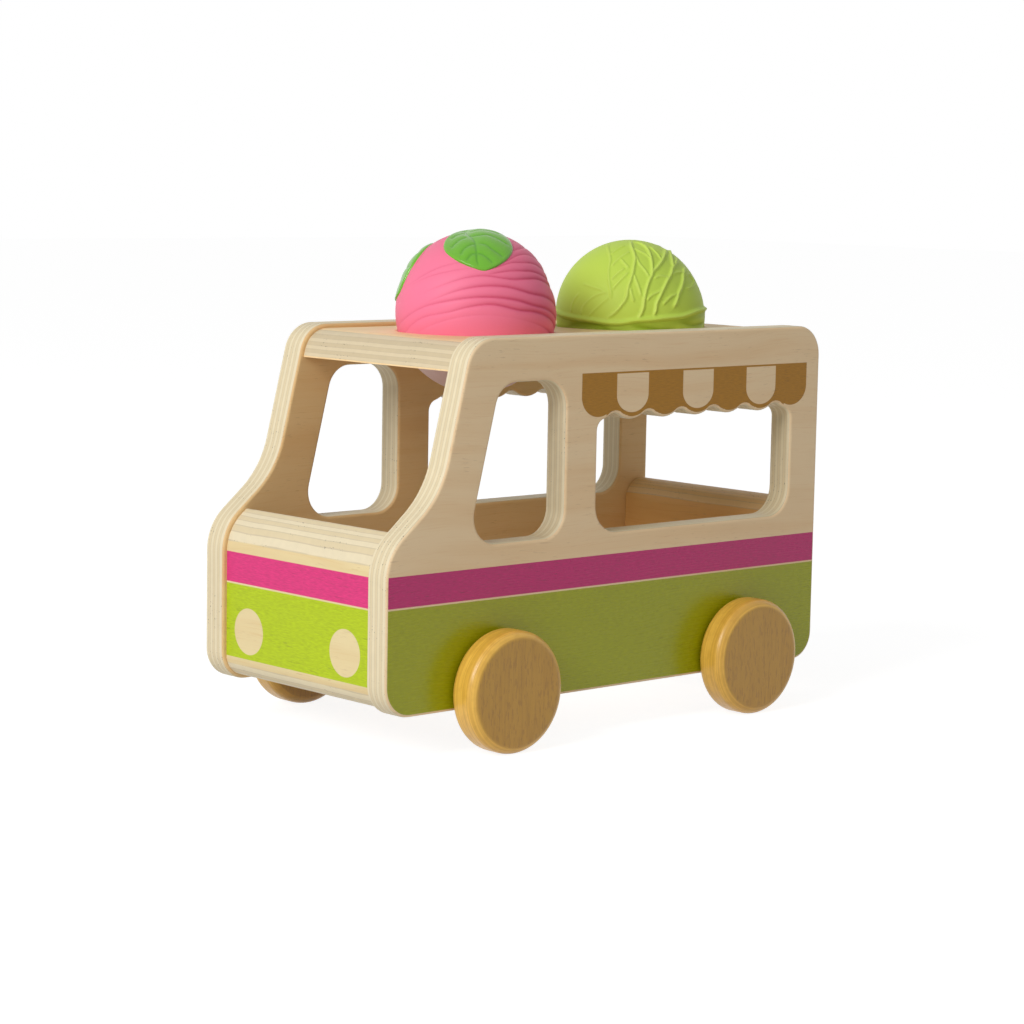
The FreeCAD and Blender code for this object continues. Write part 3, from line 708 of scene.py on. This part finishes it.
# Creases of the pleated scoop: turn about its leaning axis, angle above its middle, and depth.
# Turn and angle are in degrees and depth is in millimetres. Past a turn of 75 they are a guess.
PLEAT_CREASES = [
    [(-105, -30.0, 0.0), (-60, -28.5, 0.15), (-30, -28.0, 0.2), (0, -27.0, 0.2), (40, -27.0, 0.15),
     (80, -24.0, 0.5), (110, -23.0, 0.5), (150, -25.0, 0.0)],
    [(-115, -22.5, 0.0), (-67, -21.9, 0.22), (-44, -20.9, 0.3), (-19, -22.7, 0.35), (-6, -21.2, 0.45),
     (10, -19.6, 0.55), (37, -20.7, 0.65), (48, -18.8, 0.7), (63, -16.8, 0.75), (95, -15.5, 0.8),
     (130, -17.0, 0.5), (160, -18.0, 0.0)],
    [(-115, -13.0, 0.0), (-82, -12.6, 0.2), (-67, -14.0, 0.25), (-41, -14.1, 0.32), (-22, -14.9, 0.42),
     (5, -14.5, 0.55), (34, -14.4, 0.7), (47, -14.5, 0.75), (61, -12.3, 0.8), (95, -9.0, 0.8),
     (130, -10.0, 0.5), (165, -11.0, 0.0)],
    [(-55, -12.5, 0.0), (-25, -10.7, 0.28), (-11, -8.5, 0.42), (6, -6.6, 0.55), (23, -6.0, 0.6),
     (44, -6.6, 0.7), (59, -4.1, 0.8), (95, -1.0, 0.8), (130, -2.0, 0.5), (160, -3.0, 0.0)],
    [(-50, -6.0, 0.0), (-19, -2.1, 0.3), (-6, 0.2, 0.38), (6, 1.2, 0.45), (21, 0.2, 0.5),
     (29, 0.6, 0.6), (40, 3.6, 0.65), (52, 7.1, 0.75), (61, 8.3, 0.8), (95, 11.0, 0.8),
     (130, 9.0, 0.5), (165, 7.0, 0.0)],
    [(4, 1.5, 0.0), (10, 2.4, 0.3), (27, 7.0, 0.5), (37, 9.3, 0.6), (48, 11.9, 0.7), (62, 13.3, 0.75),
     (95, 17.0, 0.7), (130, 15.0, 0.5), (155, 14.0, 0.0)],
    [(-62, 5.0, 0.0), (-29, 6.9, 0.28), (-18, 6.9, 0.28), (-11, 7.2, 0.26), (8, 7.0, 0.0)],
    [(8, 5.0, 0.0), (19, 9.6, 0.4), (28, 14.1, 0.45), (38, 16.8, 0.5), (52, 20.5, 0.65),
     (64, 21.3, 0.7), (100, 24.0, 0.6), (130, 22.0, 0.4), (160, 20.0, 0.0)],
    [(-66, 6.0, 0.0), (-37, 10.0, 0.28), (-25, 12.0, 0.28), (-12, 13.0, 0.24), (8, 14.0, 0.0)],
    [(14, 9.0, 0.0), (26, 15.9, 0.4), (35, 22.4, 0.45), (48, 28.4, 0.5), (62, 30.6, 0.55),
     (105, 32.0, 0.5), (140, 30.0, 0.0)],
    [(22, 22.0, 0.0), (36, 29.1, 0.4), (62, 42.9, 0.45), (105, 42.0, 0.4), (140, 40.0, 0.0)],
]
# A thin fold across them: latitudes and longitudes in degrees
PLEAT_FOLD = [(60, -47), (53, -32), (46, -25), (40, -21), (35, -19), (28, -19)]

# Each leaf's tilt away from the ball's top, turn about it and twist about the leaf's own middle
LEAVES = {"upper_leaf": (27.0, 52.0, 0.0), "lower_leaf": (59.0, -53.0, 58.0)}
LEAF_LENGTH, LEAF_HALF_WIDTH, LEAF_SHIFT = 60.0, 25.2, 0.3


def leaf_placing(node):
    """The matrix that turns a leaf's own frame, with its middle on +Z, into the ball's frame."""
    tilt, turn, twist = (math.radians(angle) for angle in LEAVES[node])
    lean = Matrix.Rotation(tilt, 3, "Y") @ Matrix.Rotation(twist, 3, "Z")
    return np.array(Matrix.Rotation(turn, 3, "Z") @ lean)


def under_leaf(directions, node):
    """A share from 0 to 1 of the places on the ball that lie well inside a leaf's outline."""
    own = directions @ leaf_placing(node)
    along = np.degrees(np.arctan2(own[:, 0], own[:, 2])) - LEAF_SHIFT
    across = np.degrees(np.arcsin(np.clip(own[:, 1], -1, 1)))
    reach = np.hypot(2 * along / LEAF_LENGTH, across / LEAF_HALF_WIDTH)
    return smooth_step(-reach, -0.95, -0.8) * (own[:, 2] > 0)


def pleat_relief(directions):
    """Relief of the pleated scoop in millimetres, and a tint that paints shade into its creases: soft
    bands about a leaning axis.

    A crease's depth falls off on both sides as exp(-(distance/width)^0.75), which is sharp at its
    bottom, and more slowly above it than below. One thin fold, a round hollow and a shallow seat
    under each leaf come on top.
    """
    swell, seat_depth = 0.25, 1.05
    above, below, sharpness = 2.0, 1.1, 0.75
    fold_depth, fold_profile = 0.45, crest(width=0.016, power=1.1)
    hollow_middle, hollow_spread, hollow_depth = toward(21.4, 140.6), math.radians(9.0), 1.1
    axis = toward(62.0, -125.0)
    forward = toward(8.0, 48.0)
    forward = forward - forward.dot(axis) * axis
    forward = forward / np.linalg.norm(forward)
    aside = np.cross(axis, forward)
    angle = np.degrees(np.arcsin(np.clip(directions @ axis, -1, 1)))
    turn = np.degrees(np.arctan2(directions @ aside, directions @ forward))
    creases = np.zeros(len(directions))
    for knots in PLEAT_CREASES:
        turns, angles, depths = np.array(knots, float).T
        apart = angle - smooth_curve(np.stack([turns, angles], axis=1), turn)
        depth = np.clip(smooth_curve(np.stack([turns, depths], axis=1), turn), 0, None)
        width = np.where(apart > 0, above, below)
        creases = np.maximum(creases, depth * crest(width, sharpness)(np.abs(apart)))
    near, distance, share = beside_path(directions, ball_path(PLEAT_FOLD, 1.0), reach=0.1)
    ends = smooth_step(share, 0.0, 0.2) * smooth_step(-share, -1.0, -0.6)
    creases[near] = np.maximum(creases[near], fold_depth * ends * fold_profile(distance))
    from_hollow = np.arccos(np.clip(directions @ hollow_middle, -1, 1)) / hollow_spread
    hollow = hollow_depth * np.exp(-(from_hollow**2) / 2)
    seats = seat_depth * sum(under_leaf(directions, node) for node in LEAVES)
    return swell - creases - hollow - seats, -creases


# Ribs of the lime scoop's leaf: latitudes and longitudes in degrees, from the top down
LIME_RIBS = [
    [(80, 44), (66, 47), (57, 50), (49, 51), (41, 49), (35, 48), (29, 46), (22, 44), (15, 43),
     (10, 40), (4, 35), (-2, 27)],
    [(79, 49), (72, 70), (64, 74), (55, 72), (48, 70), (41, 68), (34, 66), (30, 63), (24, 60),
     (18, 58), (13, 57), (7, 56), (2, 54), (-2, 51)],
    [(62, 124), (54, 96), (47, 83), (41, 74), (37, 68), (32, 64)],
    [(51, 124), (45, 104), (40, 93), (34, 86), (29, 80), (22, 74), (16, 70), (11, 67), (6, 66),
     (0, 64)],
    [(59, 138), (53, 109), (46, 99), (42, 95)],
    [(41, 118), (35, 105), (28, 98), (23, 93), (18, 88), (13, 85), (7, 81)],
]
# Side veins between those ribs
LIME_VEINS = [
    [(69, -14), (60, 9), (52, 19), (46, 23), (40, 24), (32, 26), (26, 28), (20, 30), (14, 31)],
    [(68, 33), (60, 23), (54, 19)],
    [(58, 44), (50, 33), (41, 26)],
    [(49, 34), (44, 40), (40, 44)],
    [(40, 40), (35, 34), (29, 29)],
    [(36, 44), (30, 38), (21, 31)],
    [(63, 51), (59, 60), (55, 66), (50, 70)],
    [(54, 52), (45, 55), (38, 60), (32, 63)],
    [(34, 49), (26, 52), (16, 55)],
    [(23, 46), (18, 47), (12, 49)],
    [(67, 85), (60, 85), (55, 85), (49, 84)],
    [(31, 67), (33, 74), (32, 80), (32, 85)],
    [(34, 88), (36, 95), (36, 106)],
    [(32, 103), (34, 113), (31, 119), (27, 119), (23, 107), (22, 98)],
    [(13, 59), (17, 63), (20, 70), (22, 73)],
    [(10, 72), (16, 80), (18, 87)],
]
# Faint veins on the leaf's smooth side
LIME_FAINT_VEINS = [
    [(18, 27), (21, 21), (23, 12), (25, 2)],
    [(19, 26), (16, 17), (11, 11), (6, 7), (0, 6)],
    [(15, 29), (8, 21), (0, 13)],
    [(17, 1), (12, -3), (7, -5), (2, -5)],
]
# Folds below the leaf's edge, and that edge itself as longitudes and latitudes all round
LIME_FOLDS = [
    [(-13, -19), (-8, -5), (-7, 6), (-7, 18), (-9, 27), (-12, 36)],
    [(-5, 44), (-8, 58), (-9, 74), (-8, 90)],
    [(-3, 84), (-6, 100), (-6, 118), (-4, 132)],
]
LIME_EDGE = [
    (-13, -1), (1, -2), (15, -3), (27, -4), (39, -4), (50, -2), (64, -1), (73, 0), (88, 1), (105, 4),
    (134, 5), (165, 2), (195, -2), (225, -4), (255, -1), (285, 3), (315, 2), (347, -1),
]


def lime_relief(directions):
    """Relief of the lime scoop in millimetres, and a tint of painted light on its ribs and lip and
    painted shade in its folds and under the leaf's edge: a ball under a veined leaf.

    Above the leaf's edge the surface is sunk all round, a little less near the edge on the right,
    and ribs and veins with bell profiles stand on it. A lip runs along the edge on the right. Just
    below the edge the foot is sunk too, less on the right, with soft folds in it.
    """
    radius = SCOOP_RADIUS / MILLIMETRE
    right = toward(1.0, 138.0)
    copy_turns = (0.0, 156.0)
    ridges = ((LIME_RIBS, 0.9, 0.52), (LIME_VEINS, 0.56, 0.38), (LIME_FAINT_VEINS, 0.4, 0.38))
    fold_depth, fold_profile = 0.45, crest(width=1.1, power=1.2)
    dome_depth, dome_rise = 1.22, 0.45
    lip_height, lip_width = 0.65, 1.25
    foot_depth, foot_rise, edge_shade = 0.95, 0.6, 0.3

    # Steps of above are in degrees, and steps of to_right in shares of the radius
    points = directions * radius
    ribs = np.zeros(len(directions))
    for turn in copy_turns:
        for paths, height, spread in ridges:
            for corners in paths:
                path = ball_path(corners, radius, turn)
                raise_along(ribs, points, path, 3.0, (-0.03, 0.1), height, bell(spread))
    folds = np.zeros(len(directions))
    for corners in LIME_FOLDS:
        path = ball_path(corners, radius)
        raise_along(folds, points, path, 4.0, (0.0, 0.3), fold_depth, fold_profile)

    latitude = np.degrees(np.arcsin(np.clip(directions[:, 2], -1, 1)))
    longitude = np.degrees(np.arctan2(directions[:, 1], directions[:, 0]))
    first_longitude = LIME_EDGE[0][0]
    round_from_first = np.mod(longitude - first_longitude, 360.0) + first_longitude
    above = latitude - smooth_curve(LIME_EDGE, round_from_first)
    to_right = directions @ right
    near_edge = 1 - smooth_step(above, 2.0, 26.0)
    dome = -dome_depth + dome_rise * smooth_step(to_right, 0.2, 0.95) * near_edge
    on_dome = smooth_step(above, 0.2, 2.8)
    lip = lip_height * smooth_step(to_right, -0.3, 0.9) * np.exp(-((above / lip_width) ** 2))
    sunk = foot_depth - foot_rise * to_right
    foot = -sunk * smooth_step(-above, 0.2, 3.0) * (1 - smooth_step(-above, 9.0, 24.0))
    raised = ribs * on_dome + lip - folds * smooth_step(-above, 0.0, 2.0)
    # Painted shade in a band just below the leaf's edge
    shade = edge_shade * smooth_step(-above, 1.0, 2.5) * (1 - smooth_step(-above, 4.0, 9.0))
    return dome * on_dome + foot + raised, raised - shade


pink_rubber = make_rubber(
    "pink rubber", (PINK_RUBBER, PINK_CREASE_SHADE, PINK_RUBBER), 0.45, 0.18, (PINK_WORN, 0.1675)
)
lime_rubber = make_rubber("lime rubber", (LIME_RUBBER, LIME_CREASE_SHADE, LIME_RIDGE_LIGHT), 0.45, 0.18)
leaf_rubber = make_rubber("leaf rubber", (LEAF_GREEN, LEAF_CREASE_SHADE, LEAF_RIDGE_LIGHT), 0.2, 0.5)


def scoop_piece(name, grid, middle, shape, material, places):
    """A closed scoop: a ball's grid, each point moved out by the relief that a function gives."""
    directions, faces = ball_grid(*grid)
    relief, painted_shading = shape(directions)
    points = middle + directions * (SCOOP_RADIUS + relief * MILLIMETRE)[:, None]
    make_piece(name, points, faces, material, painted_shading, places)


# A scoop's columns, its rings below and above a latitude, and that latitude
PINK_GRID, LIME_GRID = (400, 24, 220, -32.0), (620, 22, 136, -20.0)
scoop_piece(
    "pink_scoop", PINK_GRID, FRONT_MIDDLE, pleat_relief, pink_rubber,
    ("front_ball", "pink_rubber", "front_scoop"),
)
scoop_piece(
    "lime_scoop", LIME_GRID, REAR_MIDDLE, lime_relief, lime_rubber,
    ("rear_ball", "lime_rubber", "rear_scoop"),
)

# A leaf's midrib and side-vein grooves: degrees along the leaf from its middle, and across it
LEAF_MIDRIB = [
    (-31, -9.5), (-20, -9.0), (-10.6, -7.3), (-6, -5.7), (-0.6, -4.1), (4.4, -3.3), (8.8, -3.1),
    (12.7, -2.9), (20.3, -2.7), (24, -2.3), (28.3, -0.4), (30.3, 1.9),
]
LEAF_GROOVES = [
    [(-6.5, -7.9), (-3.2, -13.5), (1.8, -17.8), (6.3, -20)],
    [(4.4, -3.6), (7, -8.1), (11, -11.8), (16, -13.8)],
    [(14.8, -3.3), (16.7, -6.6), (19.4, -8.5), (22.1, -10)],
    [(-8, -6), (-7.4, -0.2), (-6.9, 7.1), (-2.1, 14.3), (3.4, 21.7)],
    [(4.0, -0.6), (6.6, 4.2), (10.8, 8.1), (15, 13.5), (17.7, 16.8)],
    [(14.9, -1.9), (17.3, 2.4), (20.8, 5.9), (25, 9.1)],
    [(-17, -9.5), (-14, -15), (-9, -20)],
    [(-19, -7), (-19, 2), (-17, 10), (-13, 15)],
]


def leaf_height(along, across, to_edge):
    """Height of a leaf's top over the ball in millimetres, and a tint of painted shade in its grooves
    and along its midrib.

    The places are two angles on the leaf and the angle to its edge, which is a quarter round. The
    midrib is a valley exp(-distance/width), deeper and wider towards the stalk, with a raised lobe
    on its right and a sunken one on its left, and each side vein is a narrow groove.
    """
    sunk, thickness, edge_round = 0.4, 0.95, 2.2
    tip_depth, added_depth, tip_width, added_width = 0.3, 0.65, 1.6, 2.6
    right_rise, right_fade, left_rise = 0.5, 0.7, -0.35
    groove_depth, groove_profile, groove_shade = 0.48, crest(width=1.5, power=0.9), 0.8
    rib_shade, rib_width = 0.35, 0.9

    rim = np.sqrt(1 - (1 - np.clip(to_edge / edge_round, 0, 1)) ** 2)
    inside = smooth_step(to_edge, 0.5, 6.0)
    from_rib = across - smooth_curve(LEAF_MIDRIB, along)
    to_stalk = 1 - smooth_step(along, -14.0, 22.0)
    valley = np.exp(-np.abs(from_rib) / (tip_width + added_width * to_stalk))
    valley = (tip_depth + added_depth * to_stalk) * valley
    right_lobe = right_rise * smooth_step(from_rib, 1.0, 12.0)
    right_lobe = right_lobe * (1 - right_fade * smooth_step(along, 0.0, 20.0))
    left_lobe = left_rise * smooth_step(-from_rib, 3.0, 16.0) * to_stalk
    points = np.stack([along.ravel(), across.ravel()], axis=1)
    grooves = np.zeros(len(points))
    for corners in LEAF_GROOVES:
        path = smooth_path(corners, 60)
        raise_along(grooves, points, path, 5.0, (-0.05, 0.12), groove_depth, groove_profile)
    grooves = grooves.reshape(along.shape)
    # Painted shade: a thin dark line along the midrib
    midrib_shade = rib_shade * np.exp(-((from_rib / rib_width) ** 2))
    height = (sunk + thickness) * rim - sunk + inside * (right_lobe + left_lobe - valley - grooves)
    return height, -inside * (grooves * groove_shade + midrib_shade)


def leaf_piece(name, node):
    """A moulded leaf: a shaped top and a hidden underside that meet along its outline.

    With s from stalk to tip, x = 2 s - 1 and t from one side to the other, a point's two angles on
    the ball are along = LEAF_LENGTH x / 2 + LEAF_SHIFT and across = start + bend s^5 +
    LEAF_HALF_WIDTH (1 - x^2)^power t. The power grows from stalk to tip, which makes the stalk's
    end round and the tip pointed.
    """
    rows, columns, tiny = 150, 130, 1e-6
    start, bend, stalk_power, added_power = -0.9, 2.8, 0.5, 0.2
    under_depth = 0.8
    s = (1 - np.cos(np.linspace(0, math.pi, rows)))[:, None] / 2
    t = np.sin(np.linspace(-1, 1, columns) * math.pi / 2)[None, :]
    x = 2 * s - 1
    power = stalk_power + added_power * smooth_step(x, -0.4, 0.4)
    half = LEAF_HALF_WIDTH * np.clip(1 - x**2, 0, 1) ** power
    along = LEAF_LENGTH * x / 2 + LEAF_SHIFT + 0 * t
    across = start + bend * s**5 + half * t
    aside = half * (1 - np.abs(t)) + tiny
    lengthwise = LEAF_LENGTH * np.minimum(s, 1 - s) + tiny
    to_edge = 1 / np.sqrt(1 / aside**2 + 1 / lengthwise**2)
    height, painted_shading = leaf_height(along, across, to_edge)
    placing = leaf_placing(node)
    a, b = np.radians(along), np.radians(across)
    ways = np.stack([np.sin(a) * np.cos(b), np.sin(b), np.cos(a) * np.cos(b)], axis=-1) @ placing.T
    top = FRONT_MIDDLE + ways * (SCOOP_RADIUS + height * MILLIMETRE)[..., None]
    under = FRONT_MIDDLE + ways * (SCOOP_RADIUS - under_depth * MILLIMETRE)
    count = rows * columns
    index = np.arange(count).reshape(rows, columns)
    grid = np.stack([index[:-1, :-1], index[1:, :-1], index[1:, 1:], index[:-1, 1:]], axis=-1)
    upper = grid.reshape(-1, 4)
    lower = grid[..., ::-1].reshape(-1, 4) + count
    border = np.concatenate([index[0, :-1], index[:-1, -1], index[-1, :0:-1], index[:0:-1, 0]])
    following = np.roll(border, -1)
    wall = np.stack([border, following, following + count, border + count], axis=-1)
    points = np.concatenate([top.reshape(-1, 3), under.reshape(-1, 3)])
    faces = np.concatenate([upper, lower, wall]).tolist()
    painted_shading = np.concatenate([painted_shading.ravel(), np.zeros(count)])
    places = ("front_ball", "leaf_rubber", node)
    close_seams(make_piece(name, points, faces, leaf_rubber, painted_shading, places).data)


def close_seams(mesh):
    """Merges a shell's doubled points and turns all of its faces outwards."""
    work = bmesh.new()
    work.from_mesh(mesh)
    bmesh.ops.remove_doubles(work, verts=work.verts, dist=0.00001)
    bmesh.ops.recalc_face_normals(work, faces=work.faces)
    work.to_mesh(mesh)
    work.free()


leaf_piece("upper_leaf_moulded", "upper_leaf")
leaf_piece("lower_leaf_moulded", "lower_leaf")

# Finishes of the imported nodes
FINISHES = [
    (side_birch, ("side_panel_left", "side_panel_right")),
    (front_birch, ("front_board",)),
    (rear_birch, ("rear_board",)),
    (roof_birch, ("roof_board",)),
    (axle_beech, ("front_axle", "rear_axle")),
    (wheel_beech, ("front_wheel_left", "front_wheel_right", "rear_wheel_left", "rear_wheel_right")),
]
for finish, nodes in FINISHES:
    for node in nodes:
        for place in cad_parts[node].material_slots:
            place.material = finish


def background_share(tree):
    """1 for the rays that see the background: from the camera, or by a mirror or glass."""
    path = put(tree, "ShaderNodeLightPath").outputs
    seen = calc(tree, "ADD", path["Is Camera Ray"], path["Is Glossy Ray"])
    return calc(tree, "ADD", seen, path["Is Transmission Ray"], clamp=True)


def make_stage():
    """A floor that looks white with a soft shadow to the camera, and bounces grey light."""
    half, own_light, shaded_part = 6.0, 0.88, 0.34
    mesh = bpy.data.meshes.new("studio_floor")
    corners = [(-half, -half, 0), (half, -half, 0), (half, half, 0), (-half, half, 0)]
    mesh.from_pydata(corners, [], [(0, 1, 2, 3)])
    floor = add_object("studio_floor", mesh)
    material = bpy.data.materials.new("studio floor")
    tree = cleared_tree(material)
    bounce = put(tree, "ShaderNodeBsdfDiffuse", {"Color": FLOOR_GREY})
    shaded = put(tree, "ShaderNodeBsdfDiffuse", {"Color": (shaded_part,) * 3 + (1.0,)})
    glow = put(tree, "ShaderNodeEmission", {"Color": STUDIO_WHITE, "Strength": own_light})
    seen = put(tree, "ShaderNodeAddShader", {0: shaded.outputs[0], 1: glow.outputs[0]})
    feeds = {0: background_share(tree), 1: bounce.outputs[0], 2: seen.outputs[0]}
    both = put(tree, "ShaderNodeMixShader", feeds)
    put(tree, "ShaderNodeOutputMaterial", {0: both.outputs[0]})
    mesh.materials.append(material)


def make_world():
    """A white background over a lower ambient light that is stronger from one side.

    The light is ambient (1 + slant times the ray's share of the bright side's way).
    """
    ambient, slant, bright_side = 0.285, 0.5, (0.65, 0.65, 0.39)
    world = bpy.data.worlds.new("studio")
    tree = cleared_tree(world)
    ways = {0: put(tree, "ShaderNodeTexCoord").outputs["Generated"], 1: bright_side}
    brighter = put(tree, "ShaderNodeVectorMath", ways, operation="DOT_PRODUCT").outputs["Value"]
    lit = calc(tree, "MULTIPLY_ADD", brighter, slant * ambient, ambient)
    strength = calc(tree, "MAXIMUM", background_share(tree), lit)
    light = put(tree, "ShaderNodeBackground", {"Color": STUDIO_WHITE, "Strength": strength})
    put(tree, "ShaderNodeOutputWorld", {0: light.outputs[0]})
    bpy.context.scene.world = world


def add_softbox(name, way, distance, size, power):
    """A square soft light in one direction from the truck's middle, looking at it."""
    middle = Vector((0.0, 0.0, 0.09))
    lamp = bpy.data.lights.new(name, "AREA")
    lamp.size = size
    lamp.energy = power
    holder = add_object(name, lamp)
    holder.location = middle + Vector(way).normalized() * distance
    looking = middle - holder.location
    holder.rotation_euler = looking.to_track_quat("-Z", "Y").to_euler()


def make_camera():
    """The photograph's camera: a long lens from the front left, slightly above the truck."""
    azimuth, elevation, roll = (math.radians(angle) for angle in (137.842, 7.023, 1.035))
    place = (0.82705, 0.90813, 0.23803)
    level = Vector((math.cos(azimuth), math.sin(azimuth), 0.0))
    back = Vector((0.0, 0.0, math.sin(elevation)))
    back += level.cross(Vector((0.0, 0.0, 1.0))) * math.cos(elevation)
    right = level * math.cos(roll) + back.cross(level) * math.sin(roll)
    up = back.cross(right)
    lens = bpy.data.cameras.new("camera")
    lens.lens = 99.68
    lens.sensor_width = 36.0
    lens.clip_start, lens.clip_end = 0.05, 30.0
    camera = add_object("camera", lens)
    turned = Matrix((right, up, back)).transposed().to_4x4()
    camera.matrix_world = Matrix.Translation(place) @ turned
    bpy.context.scene.camera = camera


make_stage()
make_world()
add_softbox("key", way=(0.83, 0.13, 0.52), distance=1.5, size=0.7, power=14.0)
make_camera()
bpy.context.scene.view_settings.view_transform = "Standard"
